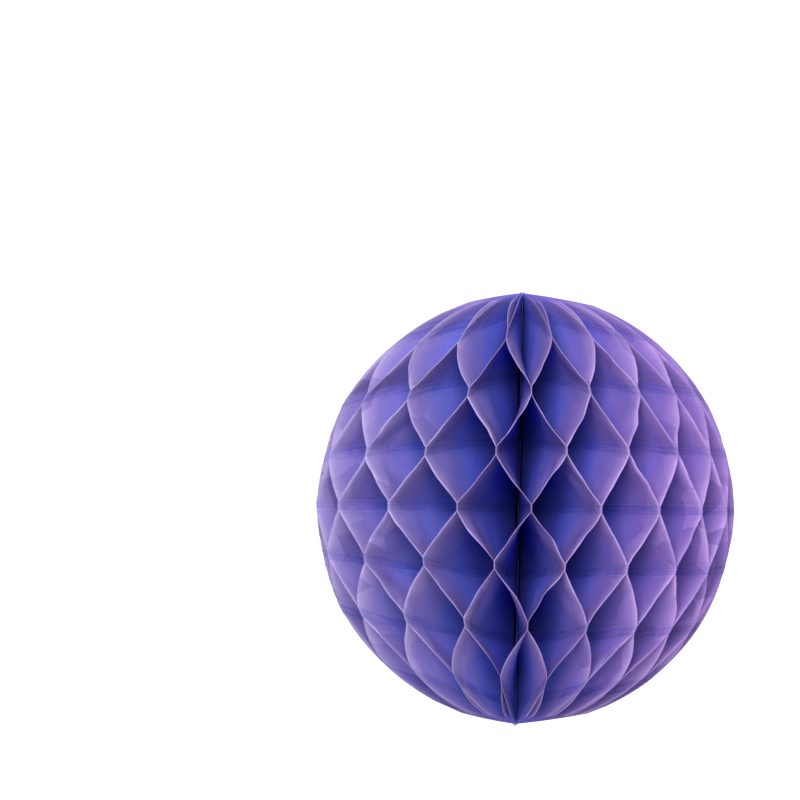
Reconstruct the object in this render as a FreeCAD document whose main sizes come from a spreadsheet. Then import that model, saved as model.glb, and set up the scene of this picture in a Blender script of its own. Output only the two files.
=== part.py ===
import FreeCAD, Part
import Sketcher
import math
import os

# Paper honeycomb ball, opened and hanging. The spine is the Z axis, and the origin is its hanging
# point, on top of the upper knot. Bearings are degrees about Z, counted from +X towards +Y.

doc = FreeCAD.newDocument("honeycomb_ball")

# Driving sizes: millimetres and degrees, one cell each, named by its alias
SIZES = [
    ("ball_radius", "75", "spine to rim at mid height, on average"),
    ("cut_radius", "78", "radius of the arc that the stack is die-cut to, and half the height"),
    ("leaf_count", "36", "tissue leaves around the spine, an even number"),
    ("leaf_thickness", "0.12", "one leaf, creped tissue with its glue"),
    ("glue_film", "0.01", "half of the clearance between two glued faces"),
    ("glue_line_width", "2.6", "height of one glue line"),
    ("glue_pitch", "23.5", "from glue line to glue line on a flat leaf"),
    ("crease_rows", "5", "rows of facets that a slant creases into, from the bead to the rim"),
    ("pole_droop", "0.13", "share that the last glue line sinks by, counted at the rim radius"),
    ("cover_bearing", "-267.4", "covers, as if the leaves were fanned evenly"),
    ("fan_crowding", "11.1", "how far leaves have slid towards the crowded side"),
    ("crowded_bearing", "-23.5", "the side where the leaves sit closest"),
    ("crowded_bulge", "2.4", "how much farther out the leaves stand there than on average"),
    ("bead_radius", "1.5", "line of glue that the inner edges seat on"),
    ("thread_radius", "0.3", "binding thread inside the bead"),
    ("bead_end_gap", "2", "from the end of the bead to the top of the spine"),
    ("knot_radius", "1.1", "round part of a knot"),
    ("knot_turn_radius", "0.35", "last turn of thread around a knot"),
    ("tail_length", "1.6", "cut end of the thread, from the middle of the lower knot"),
    ("cover_thickness", "0.4", "card of one cover"),
    ("cover_setback", "6", "from the spine to the straight edge of a cover"),
    ("cover_clearance", "1", "from where a leaf stands aside to the straight edge of its cover"),
    ("cover_margin", "0.5", "how far the card stays inside the tissue rim"),
    ("strip_thickness", "0.1", "double-sided strip between the covers"),
    ("strip_width", "10", "across the strip, along the radius"),
    ("strip_length", "40", "along the spine"),
    ("strip_inset", "30", "from the spine to the near edge of a strip"),
    ("strip_height", "12", "from mid height to the near end of a strip"),
]

sheet = doc.addObject("Spreadsheet::Sheet", "Sizes")
for row, (alias, value, meaning) in enumerate(SIZES, start=1):
    sheet.set(f"A{row}", value)
    sheet.setAlias(f"A{row}", alias)
    sheet.set(f"B{row}", meaning)
doc.recompute()


def even_bearing(plane):
    """Expression for the bearing that a glue plane would have in an even fan. Plane 0 is the fixed
    cover's, and the last plane comes round to it again."""
    return f"(Sizes.cover_bearing + {plane} * 360 / Sizes.leaf_count)"


def bearing(plane):
    """Expression for the bearing of a glue plane: the even fan, slid towards the crowded side."""
    off_crowd = f"({even_bearing(plane)} - Sizes.crowded_bearing)"
    return f"({even_bearing(plane)} - Sizes.fan_crowding * sin({off_crowd} * 1 deg))"


def rim_radius(plane):
    """Expression for how far the rim stands from the spine there: farther on the crowded side."""
    off_crowd = f"({even_bearing(plane)} - Sizes.crowded_bearing)"
    return f"(Sizes.ball_radius + Sizes.crowded_bulge * cos({off_crowd} * 1 deg))"


# Heights on the spine, from the middle of the ball and from the hanging point

SPINE_TOP = "sqrt(Sizes.cut_radius ^ 2 - (Sizes.cut_radius - Sizes.ball_radius) ^ 2)"
BEAD_TOP = f"({SPINE_TOP} - Sizes.bead_end_gap)"
KNOT_HEIGHT = f"({BEAD_TOP} + Sizes.knot_radius)"
MIDDLE = f"(-{KNOT_HEIGHT} - Sizes.knot_radius)"


def turn_about_spine(feature, degrees):
    """Stand a sub-part at a bearing, level with the middle of the ball. Both follow the sheet."""
    feature.Placement = FreeCAD.Placement(
        FreeCAD.Vector(0, 0, 0), FreeCAD.Rotation(FreeCAD.Vector(0, 0, 1), 90)
    )
    feature.setExpression(".Placement.Rotation.Angle", degrees)
    feature.setExpression(".Placement.Base.z", MIDDLE)


def bind(feature, **expressions):
    """Tie properties of a feature to the sheet."""
    for name, expression in expressions.items():
        feature.setExpression(name, expression)
    return feature


# Tissue leaves. Each is one sheet from the bead to the rim. It is glued to the leaf before it and
# the leaf after it by turns, so when it opens it runs in a zigzag between two glue planes.

COVER_STACK = sheet.cover_thickness + sheet.strip_thickness / 2
BLANK_SPARE = 1  # how far a leaf's blank reaches past the farthest rim before it is cut
OUTER_RADIUS = sheet.ball_radius + sheet.crowded_bulge + BLANK_SPARE
LAST_LEVEL = int(sheet.cut_radius / sheet.glue_pitch)  # the last glue line on the leaf


def value_of(expression):
    """Value of an expression that follows the sheet."""
    return sheet.evalExpression(expression)


def open_pitch(radius, plane):
    """Height from glue line to glue line in a glue plane of the open ball. The slant between two
    glue lines keeps its length in paper, so where the fan opens it wide it stands less high."""
    opening = (value_of(bearing(plane + 1)) - value_of(bearing(plane - 1))) / 2
    sideways = radius * 2 * math.tan(math.radians(opening) / 2)
    slant = sheet.glue_pitch - sheet.glue_line_width
    return sheet.glue_line_width + math.sqrt(slant**2 - sideways**2)


def glue_height(level, radius, plane):
    """Middle of a glue line. Towards the poles the lines sink, most of all the last one."""
    share = min(abs(level) / LAST_LEVEL, 1)
    droop = sheet.pole_droop * share**4 * radius / sheet.ball_radius
    return level * open_pitch(radius, plane) * (1 - droop)


def zigzag(radius, number, low_gap, high_gap):
    """Corners of a leaf's middle surface at one radius, from the bottom up, in the leaf's own
    frame: X along the leaf, Y across it. low_gap and high_gap are how far its faces stay from the
    glue planes."""
    low, high = value_of(bearing(number - 1)), value_of(bearing(number))
    half_angle = math.radians(high - low) / 2
    corners = []
    for level in range(-LAST_LEVEL - 1, LAST_LEVEL + 2):
        towards_next = (level + number) % 2 == 1
        plane = number if towards_next else number - 1
        gap = (high_gap if towards_next else low_gap) + sheet.leaf_thickness / 2
        across = radius * math.tan(half_angle) - gap / math.cos(half_angle)
        height = glue_height(level, radius, plane)
        for end in (-1, 1):
            line_end = height + end * sheet.glue_line_width / 2
            corners.append(FreeCAD.Vector(radius, across if towards_next else -across, line_end))
    return corners


def flat_face(corners):
    return Part.Face(Part.makePolygon([*corners, corners[0]]))


def creased_sheet(lines):
    """Solid of the sheet over rows of corners that run from the bead outwards. Between two rows it
    lies in flat facets, two to a slant, and both of its faces crease along the same lines."""
    through = FreeCAD.Vector(0, sheet.leaf_thickness / 2, 0)
    faces = []
    for inner, outer in zip(lines, lines[1:]):
        for low in range(len(inner) - 1):
            for facet in (
                (inner[low], inner[low + 1], outer[low + 1]),
                (inner[low], outer[low + 1], outer[low]),
            ):
                faces.append(flat_face([corner + through for corner in facet]))
                faces.append(flat_face([corner - through for corner in reversed(facet)]))
    bottom = [line[0] for line in lines]
    top = [line[-1] for line in reversed(lines)]
    rim = lines[-1][1:-1]
    seat = lines[0][-2:0:-1]
    edge = bottom + rim + top + seat
    for start, end in zip(edge, edge[1:] + edge[:1]):
        faces.append(flat_face([start + through, end + through, end - through, start - through]))
    return Part.Solid(Part.Shell(faces))


def leaf_solid(number):
    """The creased sheet between glue planes number - 1 and number, cut to the rim arc."""
    film = sheet.glue_film
    # the first and last leaf are glued to a cover, which pushes them off their outer plane
    low_gap = film + COVER_STACK if number == 1 else film
    high_gap = film + COVER_STACK if number == sheet.leaf_count else film
    lines = [zigzag(sheet.bead_radius, number, film, film)]
    if number in (1, sheet.leaf_count):
        aside = sheet.cover_setback - sheet.cover_clearance
        lines.append(zigzag(aside, number, low_gap, high_gap))
    for step in range(1, int(sheet.crease_rows) + 1):
        radius = OUTER_RADIUS * step / sheet.crease_rows
        lines.append(zigzag(radius, number, low_gap, high_gap))
    width = OUTER_RADIUS
    behind = sheet.cut_radius - value_of(rim_radius(number - 0.5))
    centre = FreeCAD.Vector(-behind, -width / 2, 0)
    blank = Part.makeCylinder(sheet.cut_radius, width, centre, FreeCAD.Vector(0, 1, 0))
    return creased_sheet(lines).common(blank).removeSplitter().Solids[0]


def make_leaf(number):
    leaf = doc.addObject("Part::Feature", f"Leaf{number:02d}")
    leaf.Label = f"leaf_{number:02d}"
    leaf.Shape = leaf_solid(number)
    turn_about_spine(leaf, f"({bearing(number - 1)} + {bearing(number)}) / 2")
    return leaf


# Card covers. They start and end the stack, and in the open ball they lie back to back.


def half_disc_sketch(body):
    """Half disc in the XZ plane: the cut arc, held inside the rim, and a straight edge."""
    plane = next(f for f in body.Origin.OriginFeatures if f.Role == "XZ_Plane")
    sketch = body.newObject("Sketcher::SketchObject", body.Name + "Outline")
    sketch.AttachmentSupport = [(plane, "")]
    sketch.MapMode = "FlatFace"
    centre = FreeCAD.Vector(value_of(rim_radius(0)) - sheet.cut_radius, 0, 0)
    radius = sheet.cut_radius - sheet.cover_margin
    half_turn = math.acos((sheet.cover_setback - centre.x) / radius)
    circle = Part.Circle(centre, FreeCAD.Vector(0, 0, 1), radius)
    arc = sketch.addGeometry(Part.ArcOfCircle(circle, -half_turn, half_turn))
    edge = sketch.addGeometry(Part.LineSegment(sketch.getPoint(arc, 2), sketch.getPoint(arc, 1)))
    sketch.addConstraint([
        Sketcher.Constraint("Coincident", arc, 2, edge, 1),
        Sketcher.Constraint("Coincident", arc, 1, edge, 2),
        Sketcher.Constraint("Vertical", edge),
        Sketcher.Constraint("PointOnObject", arc, 3, -1),
    ])
    radius_at = sketch.addConstraint(Sketcher.Constraint("Radius", arc, radius))
    centre_at = sketch.addConstraint(Sketcher.Constraint("DistanceX", arc, 3, -1, 1, -centre.x))
    edge_at = sketch.addConstraint(
        Sketcher.Constraint("DistanceX", -1, 1, edge, 1, sheet.cover_setback)
    )
    for index, name, expression in (
        (radius_at, "arc_radius", "Sizes.cut_radius - Sizes.cover_margin"),
        (centre_at, "arc_behind", f"Sizes.cut_radius - {rim_radius(0)}"),
        (edge_at, "setback", "Sizes.cover_setback"),
    ):
        sketch.renameConstraint(index, name)
        sketch.setExpression("Constraints." + name, expression)
    return sketch


def make_cover(label, side):
    """A cover whose inner face looks to side +1 or -1 of the plane where the two meet."""
    body = doc.addObject("PartDesign::Body", label.title().replace("_", ""))
    body.Label = label
    sketch = half_disc_sketch(body)
    towards = "" if side > 0 else "-"
    offset = "Sizes.strip_thickness / 2"
    # the sketch's own Z points to -Y
    sketch.setExpression(".AttachmentOffset.Base.z", f"-({towards}{offset})")
    pad = body.newObject("PartDesign::Pad", body.Name + "Card")
    pad.Profile = sketch
    pad.Reversed = side > 0
    bind(pad, Length="Sizes.cover_thickness")
    turn_about_spine(body, bearing(0))
    return body


def make_strip(label, side):
    """Double-sided strip between the covers, above (+1) or below (-1) mid height."""
    strip = doc.addObject("Part::Box", label.title().replace("_", ""))
    strip.Label = label
    bind(
        strip,
        Length="Sizes.strip_width",
        Width="Sizes.strip_thickness",
        Height="Sizes.strip_length",
    )
    turn_about_spine(strip, bearing(0))
    angle = bearing(0) + " * 1 deg"
    strip.setExpression(
        ".Placement.Base.x",
        f"Sizes.strip_inset * cos({angle}) + Sizes.strip_thickness / 2 * sin({angle})",
    )
    strip.setExpression(
        ".Placement.Base.y",
        f"Sizes.strip_inset * sin({angle}) - Sizes.strip_thickness / 2 * cos({angle})",
    )
    low_end = "+ Sizes.strip_height" if side > 0 else "- Sizes.strip_height - Sizes.strip_length"
    strip.setExpression(".Placement.Base.z", f"{MIDDLE} {low_end}")
    return strip


# Spine: the thread that binds the stack, the bead of glue around it and a knot at each pole.


def upright_cylinder(name, radius, low, high):
    """Cylinder on the spine, between two heights counted from the middle of the ball."""
    cylinder = doc.addObject("Part::Cylinder", name)
    bind(cylinder, Radius=radius, Height=f"{high} - ({low})")
    cylinder.setExpression(".Placement.Base.z", f"{MIDDLE} + {low}")
    return cylinder


def make_bead():
    glue = upright_cylinder("BeadOutside", "Sizes.bead_radius", f"-{BEAD_TOP}", BEAD_TOP)
    bore = upright_cylinder("BeadBore", "Sizes.thread_radius", f"-{SPINE_TOP}", SPINE_TOP)
    bead = doc.addObject("Part::Cut", "SpineBead")
    bead.Label = "spine_bead"
    bead.Base = glue
    bead.Tool = bore
    return bead


def knot_pieces(name, side):
    """A knot seated on the bead's end at the top (+1) or bottom (-1): a round ball of thread, its
    last turn and, at the bottom, the cut end."""
    height = KNOT_HEIGHT if side > 0 else f"-{KNOT_HEIGHT}"
    ball = doc.addObject("Part::Sphere", name + "Ball")
    bind(ball, Radius="Sizes.knot_radius")
    turn = doc.addObject("Part::Torus", name + "Turn")
    bind(
        turn,
        Radius1="Sizes.knot_radius - Sizes.knot_turn_radius / 2",
        Radius2="Sizes.knot_turn_radius",
    )
    for piece in (ball, turn):
        piece.setExpression(".Placement.Base.z", f"{MIDDLE} + {height}")
    if side > 0:
        return [ball, turn]
    low = f"{height} - Sizes.tail_length"
    tail = upright_cylinder(name + "Tail", "Sizes.thread_radius", low, height)
    return [ball, turn, tail]


def make_thread():
    """The binding thread, from the knot at one pole to the knot at the other."""
    run = upright_cylinder("ThreadRun", "Sizes.thread_radius", f"-{KNOT_HEIGHT}", KNOT_HEIGHT)
    thread = doc.addObject("Part::MultiFuse", "BindingThread")
    thread.Label = "binding_thread"
    thread.Shapes = [run, *knot_pieces("TopKnot", 1), *knot_pieces("BottomKnot", -1)]
    return thread


nodes = [
    make_cover("cover_fixed", 1),
    make_cover("cover_moving", -1),
    make_strip("adhesive_strip_upper", 1),
    make_strip("adhesive_strip_lower", -1),
    make_bead(),
    make_thread(),
]
for leaf_number in range(1, int(sheet.leaf_count) + 1):
    nodes.append(make_leaf(leaf_number))

doc.recompute()
for feature in doc.Objects:
    if "Invalid" in feature.State or "Error" in feature.State:
        raise RuntimeError(f"{feature.Label} wasn't built: {feature.State}")

os.makedirs("parts", exist_ok=True)
for node in nodes:
    if node.Shape.isNull() or not node.Shape.isValid():
        raise RuntimeError(f"{node.Label} has no valid shape")
    node.Shape.exportStep(f"parts/{node.Label}.step")
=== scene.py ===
import math
import bpy
import numpy as np
from mathutils import Matrix, Vector


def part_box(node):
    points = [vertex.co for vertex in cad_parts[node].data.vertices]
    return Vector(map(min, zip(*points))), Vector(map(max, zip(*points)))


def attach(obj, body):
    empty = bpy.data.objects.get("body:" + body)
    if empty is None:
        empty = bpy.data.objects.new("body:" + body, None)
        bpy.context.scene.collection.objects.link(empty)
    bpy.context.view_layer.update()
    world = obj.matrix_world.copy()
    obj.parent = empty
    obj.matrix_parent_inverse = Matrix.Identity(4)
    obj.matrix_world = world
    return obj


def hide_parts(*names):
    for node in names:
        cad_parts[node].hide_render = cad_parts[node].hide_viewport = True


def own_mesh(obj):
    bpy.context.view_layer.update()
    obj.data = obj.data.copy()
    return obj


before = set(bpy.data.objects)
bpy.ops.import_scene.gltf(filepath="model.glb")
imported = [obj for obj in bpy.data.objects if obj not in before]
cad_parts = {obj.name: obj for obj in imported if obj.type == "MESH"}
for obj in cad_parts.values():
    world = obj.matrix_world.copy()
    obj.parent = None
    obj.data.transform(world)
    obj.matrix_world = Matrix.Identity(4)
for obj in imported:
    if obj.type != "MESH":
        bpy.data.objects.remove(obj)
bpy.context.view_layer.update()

# --- Tissue leaves -------------------------------------------------------------------------------
# Half discs of dyed, lightly creped tissue, glued to the leaf before and the leaf after it by turns.
# The open ball pulls every leaf into a zigzag: flat where it is glued, slanting in between.

LEAF_COUNT = sum(name.startswith("leaf_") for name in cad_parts)
MIDDLE = (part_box("leaf_01")[0].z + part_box("leaf_01")[1].z) / 2
BALL_RADIUS = 0.075  # spine to rim at mid height, on average
CUT_RADIUS = 0.078  # the arc that the stack is die-cut to
BEAD_RADIUS = 0.0015  # where the leaves start
GLUE_PITCH = 0.0235  # from glue line to glue line, up the flat sheet
GLUE_LINE = 0.0026  # height of a glue line
POLE_DROOP = 0.13  # share of its height by which the last glue line sinks
TISSUE = 0.00012  # thickness of a leaf
FILM = 0.00001  # half of the glue between two leaves
LAST_LEVEL = int(CUT_RADIUS / GLUE_PITCH)  # the last glue line on a leaf
BELLY = 0.4  # how far a slant may bow, as a share of its reach at the bead
BELLY_FADE = 0.02  # radius at which the bow is down to half of that share
SOFT_BEND = 0.12  # share of a slant's run that bends softly beside the glue lines
NIBBLE = 0.00003  # depth of the unevenness of the cut rim
CRUMPLE = 0.00038  # depth of the crumpled facets at the rim
COVER_STACK = 0.00045  # a cover and half a strip, from the outer glue plane to the leaf
COVER_BEND = 0.005  # radius by which the first and the last leaf have bent clear of their cover
FREE_STEPS = 14  # grid rows up a slant
RADIAL_STEPS = 36  # grid columns from bead to rim
RIM_SCAN = 3000  # radii tried for where a row meets the cut arc


def node_points(node):
    """Vertices of a CAD node, as rows of x, y, z."""
    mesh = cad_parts[node].data
    points = np.empty(len(mesh.vertices) * 3)
    mesh.vertices.foreach_get("co", points)
    return points.reshape(-1, 3)


def bearing_of(points):
    """Bearing about the spine of the mean direction of some points."""
    return math.atan2(points[:, 1].mean(), points[:, 0].mean())


def leaf_span(number):
    """First and last bearing of a leaf near its rim and the radius of the rim, read off its CAD
    node. Bearings are counted from the mean direction, so none of them jumps by a whole turn."""
    points = node_points(f"leaf_{number:02d}")
    radius = np.hypot(points[:, 0], points[:, 1])
    outer = points[radius > 0.8 * BALL_RADIUS]
    mean = bearing_of(outer)
    bearing = np.arctan2(outer[:, 1], outer[:, 0]) - mean
    bearing = (bearing + math.pi) % (2 * math.pi) - math.pi
    rim = radius.max() * math.cos((bearing.max() - bearing.min()) / 2)
    return mean + bearing.min(), mean + bearing.max(), rim


def glue_planes():
    """Bearings of the glue planes, from the one between the covers round to the same one again.
    Between two leaves, it is halfway from the last bearing of one to the first of the next."""
    between_covers = bearing_of(node_points("adhesive_strip_upper"))
    planes = [between_covers]
    for before, after in zip(spans, spans[1:]):
        edges = np.array([before[1], after[0]])
        planes.append(math.atan2(np.sin(edges).sum(), np.cos(edges).sum()))
    return np.unwrap([*planes, between_covers])


spans = [leaf_span(number) for number in range(1, LEAF_COUNT + 1)]
planes = glue_planes()
half_angles = np.diff(planes) / 2
middles = planes[:-1] + half_angles


def opening(plane):
    """Half angle of the fan around a glue plane: the mean of the leaves on its two sides."""
    return (half_angles[plane - 1] + half_angles[plane % LEAF_COUNT]) / 2


def open_pitch(radius, plane):
    """Height from glue line to glue line: the slant keeps its length in paper while the fan pulls
    it sideways, so the pitch is the glue line plus the third side of that right triangle."""
    sideways = 2 * radius * math.tan(opening(plane))
    slant = GLUE_PITCH - GLUE_LINE
    return GLUE_LINE + np.sqrt(np.maximum(slant**2 - sideways**2, 0))


def glue_height(level, radius, plane):
    """Middle of a glue line above the middle of the ball. It sinks towards the poles, by the
    fourth power of the level and in step with the radius."""
    share = np.minimum(np.abs(level) / LAST_LEVEL, 1)
    droop = POLE_DROOP * share**4 * radius / BALL_RADIUS
    return level * open_pitch(radius, plane) * (1 - droop)


def zigzag_rows():
    """Heights up the flat sheet for the rows of a leaf's grid. A row falls on both edges and the
    middle of every glue line, and the slants between them are divided evenly."""
    rows = []
    for level in range(-LAST_LEVEL - 1, LAST_LEVEL + 2):
        middle = level * GLUE_PITCH
        rows.extend([middle - GLUE_LINE / 2, middle, middle + GLUE_LINE / 2])
        free = np.linspace(GLUE_LINE / 2, GLUE_PITCH - GLUE_LINE / 2, FREE_STEPS + 1)
        rows.extend(middle + free[1:-1])
    return np.array(rows)[:, None]


def slant_share(flat):
    """For each row: the level below it, how far it is up the slant to the next one, from 0 to 1,
    and how far it is beyond the middle of the lower glue line."""
    level = np.floor(flat / GLUE_PITCH)
    beyond = flat - level * GLUE_PITCH
    # the share is 0 on the upper half of a glue line and 1 on the lower half of the next one
    share = np.clip((beyond - GLUE_LINE / 2) / (GLUE_PITCH - GLUE_LINE), 0, 1)
    return level, share, beyond


def leaf_height(number, flat, radius):
    """Height of the rows at these radii: on a glue line its own height plus what is beyond its
    middle, and on a slant evenly from one line's edge to the next one's."""
    level, share, beyond = slant_share(flat)
    ends = []
    for step in (0, 1):
        up = level + step
        faces_next = (up + number) % 2 == 1
        to_next = glue_height(up, radius, number)
        to_last = glue_height(up, radius, number - 1)
        ends.append(np.where(faces_next, to_next, to_last))
    half = GLUE_LINE / 2
    height = ends[0] + half + share * (ends[1] - ends[0] - GLUE_LINE)
    height = np.where(beyond < half, ends[0] + beyond, height)
    return np.where(beyond > GLUE_PITCH - half, ends[1] + beyond - GLUE_PITCH, height)


def leaf_grid(number):
    """Points of a leaf's middle surface, rows up the sheet by columns out from the bead, in the
    leaf's own frame: X out along the leaf, Y across it and Z up from the middle of the ball. With
    them come how deep below the rim a point lies and how far up the sheet, in glue pitches; ten
    more pitches up for every leaf give each its own stretch of the tissue's pattern."""
    random = np.random.default_rng(100 + number)
    half_angle, rim_radius = half_angles[number - 1], spans[number - 1][2]
    flat = zigzag_rows()
    tried = np.linspace(BEAD_RADIUS, CUT_RADIUS, RIM_SCAN)[None, :]
    from_centre = np.hypot(tried - (rim_radius - CUT_RADIUS), leaf_height(number, flat, tried))
    inside = from_centre < CUT_RADIUS
    kept = inside.any(axis=1)
    flat, inside, tried = flat[kept], inside[kept], tried[0]
    start = tried[inside.argmax(axis=1)][:, None]
    rim = tried[len(tried) - 1 - inside[:, ::-1].argmax(axis=1)][:, None]
    nibbled = sum(np.sin(flat * random.uniform(200, 1500) + random.uniform(0, 6)) for _ in range(4))
    # no row is shorter than a few fibres, so that none turns back on itself
    rim = np.maximum(rim - NIBBLE * (1.5 + nibbled), start + 0.00005)
    # columns lie closer together towards the rim
    radius = start + (rim - start) * np.linspace(0, 1, RADIAL_STEPS + 1)[None, :] ** 0.8
    height = leaf_height(number, flat, radius)
    level, share, _ = slant_share(flat)
    # nearly straight from plane to plane, with a soft bend beside each glue line
    eased = (1 - SOFT_BEND) * share + SOFT_BEND * share**2 * (3 - 2 * share)
    starts_next = (level + number) % 2 == 1
    side = np.where(starts_next, 1, -1) * (1 - 2 * eased)
    # a cover and half a strip push the first and the last leaf off their outer plane
    stack = COVER_STACK * np.clip((radius - BEAD_RADIUS) / (COVER_BEND - BEAD_RADIUS), 0, 1)
    pushed = ((number == 1) & (side < 0)) | ((number == LEAF_COUNT) & (side > 0))
    gap = FILM + TISSUE / 2 + np.where(pushed, stack, 0)
    reach = radius * math.tan(half_angle) - gap / math.cos(half_angle)
    free = 4 * share * (1 - share)
    bow = np.zeros_like(flat)
    for this_level in range(-LAST_LEVEL - 1, LAST_LEVEL + 1):
        bow += (level == this_level) * random.uniform(-1, 1)
    belly = BELLY * np.maximum(reach, 0) / (1 + radius / BELLY_FADE)
    # each triangle wave folds the sheet along one direction, and five together make facets
    facets = np.zeros_like(radius)
    for _ in range(5):
        wave = random.uniform(60, 420) * radius + random.uniform(-520, 520) * flat
        facets += random.uniform(0.2, 1) * np.arcsin(np.sin(wave + random.uniform(0, 6))) * 2 / math.pi
    crumple = random.uniform(0.5, 1.2) * CRUMPLE * (radius / BALL_RADIUS) ** 2
    sway = (belly * bow + crumple * facets) * free
    points = np.stack([radius, side * reach + sway, height], axis=-1)
    return points, (rim - radius) / GLUE_PITCH, flat / GLUE_PITCH + 0 * radius + 10 * number


def grid_quads(rows, columns):
    """Corners of the quads of a grid, counted along its rows."""
    index = np.arange(rows * columns).reshape(rows, columns)
    corners = [index[:-1, :-1], index[:-1, 1:], index[1:, 1:], index[1:, :-1]]
    return np.stack(corners, axis=-1).reshape(-1, 4)


def feed(tree, socket, value):
    """Give a socket its value, or link it if the value is another socket."""
    if isinstance(value, bpy.types.NodeSocket):
        tree.links.new(value, socket)
    else:
        socket.default_value = value


def place(tree, kind, **sockets):
    """New shader node with the named sockets fed. An underscore in a name stands for a space."""
    node = tree.nodes.new(kind)
    for name, value in sockets.items():
        feed(tree, node.inputs[name.replace("_", " ")], value)
    return node


def reckon(tree, operation, *values):
    """Math node on one or two values or sockets. Returns its result."""
    node = tree.nodes.new("ShaderNodeMath")
    node.operation = operation
    for socket, value in zip(node.inputs, values):
        feed(tree, socket, value)
    return node.outputs[0]


def ramp(tree, factor, stops):
    """Colour ramp over (position, colour) stops."""
    node = tree.nodes.new("ShaderNodeValToRGB")
    tree.links.new(factor, node.inputs[0])
    elements = node.color_ramp.elements
    elements[0].position, elements[0].color = stops[0][0], (*stops[0][1], 1)
    elements[1].position, elements[1].color = stops[-1][0], (*stops[-1][1], 1)
    for position, colour in stops[1:-1]:
        elements.new(position).color = (*colour, 1)
    return node.outputs[0]


def blended(tree, blend, colour, other, amount):
    """Colour blended with another colour by an amount from 0 to 1. Returns the result."""
    node = tree.nodes.new("ShaderNodeMix")
    node.data_type = "RGBA"
    node.blend_type = blend
    feed(tree, node.inputs["Factor"], amount)
    feed(tree, node.inputs["A"], colour)
    feed(tree, node.inputs["B"], other)
    return node.outputs["Result"]


def tinted(tree, colour, factor_colour, amount):
    """Colour multiplied by another colour, by an amount from 0 to 1. Returns the result."""
    return blended(tree, "MULTIPLY", colour, factor_colour, amount)


def between(tree, value, low, high, at_low=0.0, at_high=1.0):
    """Straight climb from at_low, where the value is low, to at_high, where it is high. Level on
    both sides of that."""
    node = place(tree, "ShaderNodeMapRange", Value=value, From_Min=low, From_Max=high)
    node.inputs["To Min"].default_value = at_low
    node.inputs["To Max"].default_value = at_high
    return node.outputs[0]


def mottling_group():
    """Shared pattern of soft blotches, as dye, pulp and glue leave them: how dense the stuff is at
    a position, around 0.5. Scale is blotches to a unit, Detail adds finer ones, and Roughness says
    how strong the finer ones are."""
    group = bpy.data.node_groups.new("mottling", "ShaderNodeTree")
    wanted = (("Position", "NodeSocketVector"), ("Scale", "NodeSocketFloat"),
              ("Detail", "NodeSocketFloat"), ("Roughness", "NodeSocketFloat"))
    for name, kind in wanted:
        group.interface.new_socket(name, in_out="INPUT", socket_type=kind)
    group.interface.new_socket("Density", in_out="OUTPUT", socket_type="NodeSocketFloat")
    given = group.nodes.new("NodeGroupInput")
    blotches = place(group, "ShaderNodeTexNoise", Vector=given.outputs["Position"],
                     Scale=given.outputs["Scale"], Detail=given.outputs["Detail"],
                     Roughness=given.outputs["Roughness"])
    result = group.nodes.new("NodeGroupOutput")
    group.links.new(blotches.outputs["Fac"], result.inputs["Density"])
    return group


mottling = mottling_group()


def mottled(tree, position, scale, detail, roughness=0.5):
    """The mottling in a material, with values of its own. Returns the density."""
    node = tree.nodes.new("ShaderNodeGroup")
    node.node_tree = mottling
    for name, value in (("Position", position), ("Scale", scale),
                        ("Detail", detail), ("Roughness", roughness)):
        feed(tree, node.inputs[name], value)
    return node.outputs["Density"]


def new_material(name, roughness, specular):
    """Material with a matt or shiny shader. Returns it with its node tree and its shader."""
    material = bpy.data.materials.new(name)
    material.use_nodes = True
    shader = material.node_tree.nodes["Principled BSDF"]
    shader.inputs["Roughness"].default_value = roughness
    shader.inputs["Specular IOR Level"].default_value = specular
    return material, material.node_tree, shader


def own_position(tree):
    """Where a point is on its piece."""
    return tree.nodes.new("ShaderNodeTexCoord").outputs["Object"]


def packed(tree, position, outward, upward):
    """A position on the sheet, scaled so that a pattern read there is packed closer by these
    amounts from bead to rim and up the sheet."""
    node = place(tree, "ShaderNodeMapping", Vector=position)
    node.inputs["Scale"].default_value = (outward, upward, 1)
    return node.outputs[0]


DEEPEST_PAINTED_SHADE = 0.06  # below the rim, the depth at which the painted shade looks deepest
# violet dye with painted light and shade: pale at the rim as if lit, darker and bluer deeper down as
# painted shade in the cells
DYE_LIGHT_AND_SHADE = [  # share of that depth, colour
    (0.0, (0.36, 0.30, 0.47)),
    (0.01, (0.32, 0.26, 0.44)),
    (0.05, (0.25, 0.195, 0.41)),
    (0.12, (0.20, 0.157, 0.41)),
    (0.25, (0.16, 0.14, 0.45)),
    (0.45, (0.115, 0.14, 0.55)),
    (0.7, (0.105, 0.135, 0.62)),
    (1.0, (0.095, 0.12, 0.62)),
]
FIBRE_PALE = (0.52, 0.45, 0.66, 1)
PLATES = 1.7  # crumpled plates to a glue pitch
LIGHT_THROUGH = 0.42  # share of the light that comes through the paper


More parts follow.
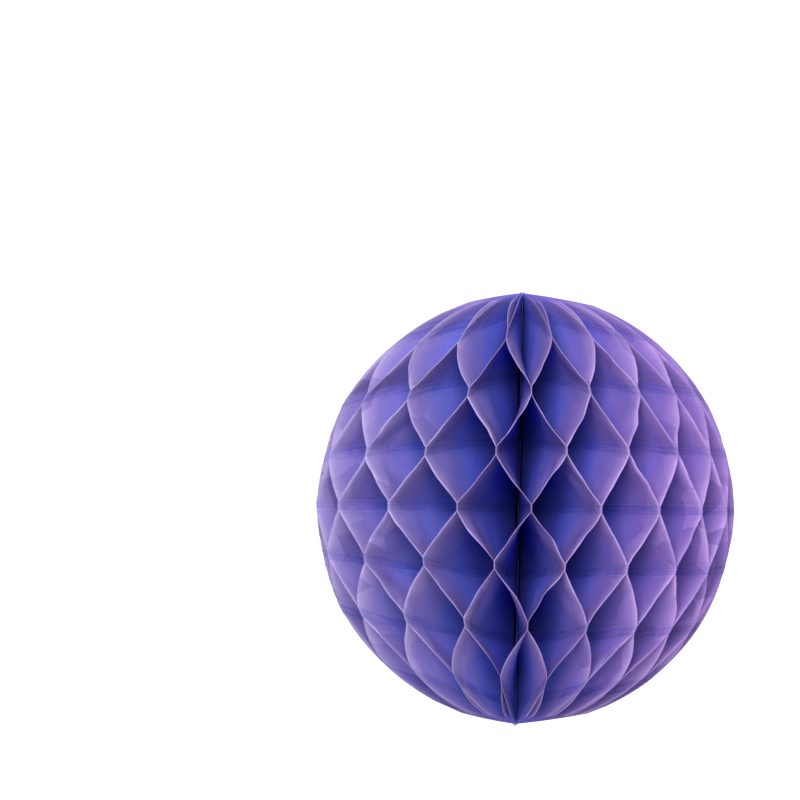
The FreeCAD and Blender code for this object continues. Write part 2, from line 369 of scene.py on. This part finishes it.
def tissue_material():
    """Violet tissue. Its colour is painted pale at the cut rim, where fibres stand out, and darker and
    bluer the deeper a fold lies: painted light and painted shade in the cells.
    Its right side is tinted pinker, a painted pink light. The glue lines show as patchy darker bands
    with puckers beside them, and the sheet has crumpled plates, creases and fibres;
    plates, puckers and creases are darkened with painted shade."""
    material, tree, shader = new_material("violet_tissue", 0.9, 0.15)
    sheet_map = tree.nodes.new("ShaderNodeUVMap")
    sheet_map.uv_map = "sheet"
    sheet = sheet_map.outputs[0]
    parts = place(tree, "ShaderNodeSeparateXYZ", Vector=sheet)
    depth, up = parts.outputs[0], parts.outputs[1]
    cloud = mottled(tree, sheet, 2.2, 3.0)
    uneven = between(tree, cloud, 0.3, 0.7, 0.75, 1.3)
    # painted light and shade by the depth below the rim, made uneven by the cloud
    painted_shade_depth = reckon(tree, "MULTIPLY", depth, GLUE_PITCH / DEEPEST_PAINTED_SHADE)
    painted_shade_depth = reckon(tree, "MULTIPLY", painted_shade_depth, uneven)
    dye_with_painted_light = ramp(tree, painted_shade_depth, DYE_LIGHT_AND_SHADE)
    # painted pink light: the right side of the ball is tinted pinker by its position across the ball
    place_parts = place(tree, "ShaderNodeSeparateXYZ", Vector=own_position(tree))
    painted_pink_light = between(tree, place_parts.outputs[0], -0.03, 0.06)
    dye_with_painted_light = tinted(tree, dye_with_painted_light, (1.0, 0.78, 0.97, 1), painted_pink_light)

    # fibres run from bead to rim, where they stand out pale
    fibre = mottled(tree, packed(tree, sheet, 9, 30), 2.0, 6.0, 0.7)
    fibre_mask = between(tree, fibre, 0.35, 0.7)
    dye_with_painted_light = tinted(tree, dye_with_painted_light, (0.66, 0.66, 0.78, 1), fibre_mask)
    at_rim = between(tree, depth, 0.0, 0.3, 0.55, 0.0)
    standing = reckon(tree, "MULTIPLY", between(tree, fibre, 0.5, 0.72), at_rim)
    dye_with_painted_light = blended(tree, "MIX", dye_with_painted_light, FIBRE_PALE, standing)

    # painted shade: each crumpled plate near the rim is darkened by its own amount, standing in for
    # how its facet catches the light
    plates = place(tree, "ShaderNodeTexVoronoi", Vector=sheet, Scale=PLATES)
    plate = place(tree, "ShaderNodeSeparateColor", Color=plates.outputs["Color"])
    near_rim = between(tree, depth, 0.2, 0.8, 1.0, 0.0)
    painted_plate_shade = reckon(tree, "MULTIPLY", plate.outputs[0], near_rim)
    dye_with_painted_light = tinted(tree, dye_with_painted_light, (0.66, 0.64, 0.80, 1), painted_plate_shade)

    # a glue line is a patchy darker band around every whole pitch
    from_line = reckon(tree, "ABSOLUTE", reckon(tree, "SUBTRACT", up, reckon(tree, "ROUND", up)))
    half_band = GLUE_LINE / 2 / GLUE_PITCH
    band = between(tree, from_line, half_band, half_band * 1.25, 1.0, 0.0)
    patchy = between(tree, cloud, 0.35, 0.6, 0.35, 1.0)
    band = reckon(tree, "MULTIPLY", band, reckon(tree, "MULTIPLY", patchy, 0.6))
    dye_with_painted_light = tinted(tree, dye_with_painted_light, (0.55, 0.60, 0.88, 1), band)

    # the glue has drawn the paper beside it into fine puckers, which are bumped and darkened with
    # painted shade
    pucker = mottled(tree, packed(tree, sheet, 1.5, 45), 1.0, 2.0)
    beside_line = between(tree, from_line, half_band, half_band * 3.5, 1.0, 0.0)
    puckers_with_painted_shade = reckon(tree, "MULTIPLY", between(tree, pucker, 0.42, 0.62), beside_line)
    dye_with_painted_light = tinted(tree, dye_with_painted_light, (0.78, 0.78, 0.90, 1), puckers_with_painted_shade)

    # creases follow the edges of the plates, where the cloud is dense; they are bumped and darkened
    # with painted shade
    edges = place(tree, "ShaderNodeTexVoronoi", Vector=sheet, Scale=PLATES)
    edges.feature = "DISTANCE_TO_EDGE"
    crease_with_painted_shade = between(tree, edges.outputs["Distance"], 0.0, 0.012, 1.0, 0.0)
    crease_with_painted_shade = reckon(tree, "MULTIPLY", crease_with_painted_shade, between(tree, cloud, 0.52, 0.62))
    dye_with_painted_light = tinted(tree, dye_with_painted_light, (0.72, 0.70, 0.84, 1), crease_with_painted_shade)

    height = reckon(tree, "ADD", fibre_mask, reckon(tree, "MULTIPLY", crease_with_painted_shade, -1.5))
    height = reckon(tree, "ADD", height, reckon(tree, "MULTIPLY", puckers_with_painted_shade, -1.5))
    bump = place(tree, "ShaderNodeBump", Strength=0.25, Distance=0.0002, Height=height)
    tree.links.new(dye_with_painted_light, shader.inputs["Base Color"])
    tree.links.new(bump.outputs[0], shader.inputs["Normal"])

    # light that comes through the paper is stronger and bluer than light that it throws back
    bluer = tinted(tree, dye_with_painted_light, (1.3, 1.27, 1.5, 1), 1.0)
    through = place(tree, "ShaderNodeBsdfTranslucent", Color=bluer)
    mixed = tree.nodes.new("ShaderNodeMixShader")
    mixed.inputs[0].default_value = LIGHT_THROUGH
    tree.links.new(shader.outputs[0], mixed.inputs[1])
    tree.links.new(through.outputs[0], mixed.inputs[2])
    tree.links.new(mixed.outputs[0], tree.nodes["Material Output"].inputs["Surface"])
    return material


tissue = tissue_material()


def new_piece(name, points, faces, material):
    """Smooth object of these points and faces, with its place in its mesh."""
    mesh = bpy.data.meshes.new(name)
    mesh.from_pydata(points.tolist(), [], faces)
    mesh.polygons.foreach_set("use_smooth", np.ones(len(faces), bool))
    mesh.materials.append(material)
    piece = bpy.data.objects.new(name, mesh)
    bpy.context.collection.objects.link(piece)
    return piece


def make_leaf(number):
    """One leaf: its grid turned to the leaf's middle bearing and raised to the middle of the ball,
    given the tissue's thickness, and tied to the CAD leaf's body. Its map holds the depth below
    the rim and the height up the sheet, in glue pitches."""
    points, depth, up = leaf_grid(number)
    middle, half_angle = middles[number - 1], half_angles[number - 1]
    turn = np.array(Matrix.Rotation(middle, 3, "Z"))
    placed = points.reshape(-1, 3) @ turn.T + (0, 0, MIDDLE)
    quads = grid_quads(*depth.shape)
    leaf = new_piece(f"tissue_leaf_{number:02d}", placed, quads.tolist(), tissue)
    sheet_map = leaf.data.uv_layers.new(name="sheet")
    uv = np.stack([depth.ravel(), up.ravel()], axis=-1)
    sheet_map.data.foreach_set("uv", uv[quads.ravel()].ravel())
    solid = leaf.modifiers.new("thickness", "SOLIDIFY")
    solid.thickness = TISSUE
    solid.offset = 0
    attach(leaf, f"leaf_{number:02d}_sheet")
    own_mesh(leaf)
    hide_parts(f"leaf_{number:02d}")


for leaf_number in range(1, LEAF_COUNT + 1):
    make_leaf(leaf_number)

# --- Covers --------------------------------------------------------------------------------------
# Two half discs of thin card, dyed like the tissue, glued to the first and the last leaf. They hold
# the stack flat in its packet and lie back to back in the open ball.


def card_material():
    """Smooth violet card: flat colour with faint pulp clouds and specks."""
    material, tree, shader = new_material("violet_card", 0.65, 0.35)
    here = own_position(tree)
    pulp = reckon(tree, "MULTIPLY", mottled(tree, here, 90.0, 6.0), 0.6)
    specks = reckon(tree, "MULTIPLY", mottled(tree, here, 1400.0, 2.0), 0.4)
    cloud = reckon(tree, "ADD", pulp, specks)
    colour = ramp(
        tree,
        cloud,
        [(0.3, (0.16, 0.11, 0.36)), (0.5, (0.21, 0.145, 0.43)), (0.7, (0.26, 0.19, 0.48))],
    )
    tree.links.new(colour, shader.inputs["Base Color"])
    bump = place(tree, "ShaderNodeBump", Strength=0.2, Distance=0.0001, Height=cloud)
    tree.links.new(bump.outputs[0], shader.inputs["Normal"])
    return material


def finish_node(node, material):
    """Give a CAD node its material."""
    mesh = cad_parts[node].data
    mesh.materials.clear()
    mesh.materials.append(material)


card = card_material()
for cover in ("cover_fixed", "cover_moving"):
    finish_node(cover, card)

# --- Adhesive strips -----------------------------------------------------------------------------
# Two strips of double-sided tape on the fixed cover, one above and one below mid height. Peeled and
# pressed against the other cover, they hold the ball open.


def tape_material():
    """Tape with a milky glue on both faces, patchy where air is caught in it."""
    material, tree, shader = new_material("milky_tape", 0.3, 0.5)
    air = mottled(tree, own_position(tree), 350.0, 4.0)
    milky = ramp(tree, air, [(0.35, (0.52, 0.50, 0.58)), (0.65, (0.74, 0.73, 0.78))])
    tree.links.new(milky, shader.inputs["Base Color"])
    tree.links.new(between(tree, air, 0.3, 0.7, 0.2, 0.4), shader.inputs["Roughness"])
    return material


tape = tape_material()
for strip in ("adhesive_strip_upper", "adhesive_strip_lower"):
    finish_node(strip, tape)

# --- Spine bead ----------------------------------------------------------------------------------
# A bead of paper glue around the binding thread, in which the inner edges of all leaves sit. It has
# dried half clear and taken up dye from the tissue.


def bead_material():
    """Dried glue, dark violet in the thick places and paler where it is thin."""
    material, tree, shader = new_material("dyed_glue", 0.85, 0.1)
    lumps = mottled(tree, own_position(tree), 400.0, 3.0)
    colour = ramp(tree, lumps, [(0.3, (0.025, 0.03, 0.16)), (0.7, (0.05, 0.05, 0.26))])
    tree.links.new(colour, shader.inputs["Base Color"])
    bump = place(tree, "ShaderNodeBump", Strength=0.5, Distance=0.0003, Height=lumps)
    tree.links.new(bump.outputs[0], shader.inputs["Normal"])
    return material


finish_node("spine_bead", bead_material())

# --- Binding thread ------------------------------------------------------------------------------
# Two-ply violet cotton down the middle of the bead. It is knotted at both poles, where it seats on
# the ends of the bead, and its cut end hangs from the lower knot.

THREAD_RADIUS = 0.0003
KNOT_RADIUS = 0.0011  # outside of a knot
KNOT_TURN = 0.00035  # radius of the thread in a knot, where it bulges
TAIL = 0.0016  # cut end below the lower knot
THREAD_SIDES = 16
PLY_LAY = 5  # thread radii in which the plies turn once
PLY_GROOVE = 0.14  # share of the radius by which the groove between the plies is deep
thread_low, thread_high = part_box("binding_thread")
TOP_KNOT = thread_high.z - KNOT_RADIUS
LOW_KNOT = thread_low.z + TAIL


def tube(path, radius, closed):
    """Thread carried along a path: each point of the path gets a ring of points at the thread's
    radius, in the plane across the path's direction. The ring's first axis is square to the
    direction and to a fixed reference. Two plies lie twisted around each other, so the ring has
    two lobes, 1 - groove + groove times |cos(bearing - turn)|, which turn with the length.
    Returns points and faces."""
    if closed:
        ahead = np.roll(path, -1, axis=0) - np.roll(path, 1, axis=0)
    else:
        ahead = np.gradient(path, axis=0)
    ahead /= np.linalg.norm(ahead, axis=1, keepdims=True)
    first = np.cross(ahead, (0.31, 0.94, 0.13))
    first /= np.linalg.norm(first, axis=1, keepdims=True)
    second = np.cross(ahead, first)
    around = np.linspace(0, 2 * math.pi, THREAD_SIDES, endpoint=False)
    steps = np.linalg.norm(np.diff(path, axis=0, append=path[:1] if closed else path[-1:]), axis=1)
    turned = np.concatenate([[0], np.cumsum(steps)[:-1]]) / (PLY_LAY * radius) * 2 * math.pi
    lobes = 1 - PLY_GROOVE + PLY_GROOVE * np.abs(np.cos(around[None, :] - turned[:, None]))
    ring = first[:, None] * np.cos(around)[:, None] + second[:, None] * np.sin(around)[:, None]
    points = path[:, None] + radius * lobes[..., None] * ring
    index = np.arange(len(path) * THREAD_SIDES).reshape(len(path), THREAD_SIDES)
    nearer = index if closed else index[:-1]
    farther = np.roll(index, -1, axis=0) if closed else index[1:]
    corners = [nearer, np.roll(nearer, -1, 1), np.roll(farther, -1, 1), farther]
    faces = np.stack(corners, axis=-1).reshape(-1, 4).tolist()
    if not closed:
        faces += [index[0, ::-1].tolist(), index[-1].tolist()]
    return points.reshape(-1, 3), faces


def overhand(height, turn):
    """Path of a knot: a trefoil, (sin t + 2 sin 2t, cos t - 2 cos 2t, -sin 3t), shrunk so that the
    thread on its outside reaches the knot's radius."""
    t = np.linspace(0, 2 * math.pi, 96, endpoint=False)
    shrink = (KNOT_RADIUS - KNOT_TURN) / 3
    across = np.sin(t) + 2 * np.sin(2 * t)
    along = np.cos(t) - 2 * np.cos(2 * t)
    tall = -np.sin(3 * t) * (KNOT_RADIUS - KNOT_TURN) / shrink
    knot = shrink * np.stack([across, along, tall], axis=-1)
    return knot @ np.array(Matrix.Rotation(turn, 3, "Z")).T + (0, 0, height)


def straight(low, high, count):
    """Path up the spine between two heights."""
    return np.stack([np.zeros(count), np.zeros(count), np.linspace(low, high, count)], axis=-1)


def cotton_material():
    """Violet cotton, finely mottled by its fuzz."""
    material, tree, shader = new_material("violet_cotton", 0.85, 0.5)
    fuzz = mottled(tree, own_position(tree), 6000.0, 2.0)
    colour = ramp(tree, fuzz, [(0.3, (0.13, 0.09, 0.30)), (0.7, (0.25, 0.18, 0.45))])
    tree.links.new(colour, shader.inputs["Base Color"])
    return material


thread_points, thread_faces = [], []
for path, thickness, closed in (
    (straight(LOW_KNOT, TOP_KNOT, 300), THREAD_RADIUS, False),
    (straight(LOW_KNOT - TAIL, LOW_KNOT, 12), THREAD_RADIUS, False),
    (overhand(TOP_KNOT, 0.0), KNOT_TURN, True),
    (overhand(LOW_KNOT, 1.1), KNOT_TURN, True),
):
    points, faces = tube(path, thickness, closed)
    start = sum(len(earlier) for earlier in thread_points)
    thread_points.append(points)
    thread_faces += [[corner + start for corner in face] for face in faces]
thread_points = np.concatenate(thread_points)
thread = new_piece("binding_thread_cotton", thread_points, thread_faces, cotton_material())
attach(thread, "spine")
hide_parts("binding_thread")

# --- Floor, light and camera ---------------------------------------------------------------------
# The ball hangs in a white studio over a pale floor. A large soft lamp stands in front of it and a
# little above, with weaker ones behind and to the side.

FLOOR_DROP = 0.7  # from the middle of the ball to the floor
FLOOR_HALF = 2.5
floor_mesh = bpy.data.meshes.new("floor")
floor_corners = [(x * FLOOR_HALF, y * FLOOR_HALF, MIDDLE - FLOOR_DROP)
                 for x, y in ((-1, -1), (1, -1), (1, 1), (-1, 1))]
floor_mesh.from_pydata(floor_corners, [], [(0, 1, 2, 3)])
floor = bpy.data.objects.new("floor", floor_mesh)
bpy.context.collection.objects.link(floor)

world = bpy.data.worlds.new("studio")
bpy.context.scene.world = world
world.use_nodes = True
way = world.node_tree.nodes.new("ShaderNodeTexCoord")
way_parts = place(world.node_tree, "ShaderNodeSeparateXYZ", Vector=way.outputs["Generated"])
# the studio is white all around and darker below, by the height of the direction looked in
shade = between(world.node_tree, way_parts.outputs[2], -0.45, -0.12, 0.3, 1.25)
world.node_tree.links.new(shade, world.node_tree.nodes["Background"].inputs["Strength"])
world.node_tree.nodes["Background"].inputs["Color"].default_value = (1, 1, 1, 1)
bpy.context.scene.view_settings.view_transform = "Standard"

middle_of_ball = Vector((0, 0, MIDDLE))


def soft_light(name, place_from_middle, size, energy):
    """White square lamp that faces the middle of the ball."""
    lamp = bpy.data.lights.new(name, "AREA")
    lamp.energy = energy
    lamp.size = size
    lamp_object = bpy.data.objects.new(name, lamp)
    lamp_object.location = middle_of_ball + Vector(place_from_middle)
    lamp_object.rotation_euler = (-Vector(place_from_middle)).to_track_quat("-Z", "Y").to_euler()
    bpy.context.collection.objects.link(lamp_object)


soft_light("key", (-0.13, -1.4, 0.42), 0.7, 52)
soft_light("back", (0.5, 1.3, 0.6), 0.9, 22)
soft_light("side", (1.4, 0.1, 0.5), 0.9, 6)

CAMERA_DISTANCE = 1.2
FRAME_WIDTH = 0.2891  # width of the view at the middle of the ball
SENSOR = 36
CAMERA_ROLL = math.radians(1.0)
camera = bpy.data.cameras.new("camera")
camera.sensor_width = SENSOR
camera.lens = SENSOR * CAMERA_DISTANCE / FRAME_WIDTH
camera_object = bpy.data.objects.new("camera", camera)
camera_object.location = middle_of_ball + Vector((0, -CAMERA_DISTANCE, 0))
# the ball hangs right of the middle of the view and a little below it
aim = Vector((-0.0436, CAMERA_DISTANCE, 0.0383))
turned = aim.to_track_quat("-Z", "Y").to_matrix() @ Matrix.Rotation(CAMERA_ROLL, 3, "Z")
camera_object.rotation_euler = turned.to_euler()
bpy.context.collection.objects.link(camera_object)
bpy.context.scene.camera = camera_object
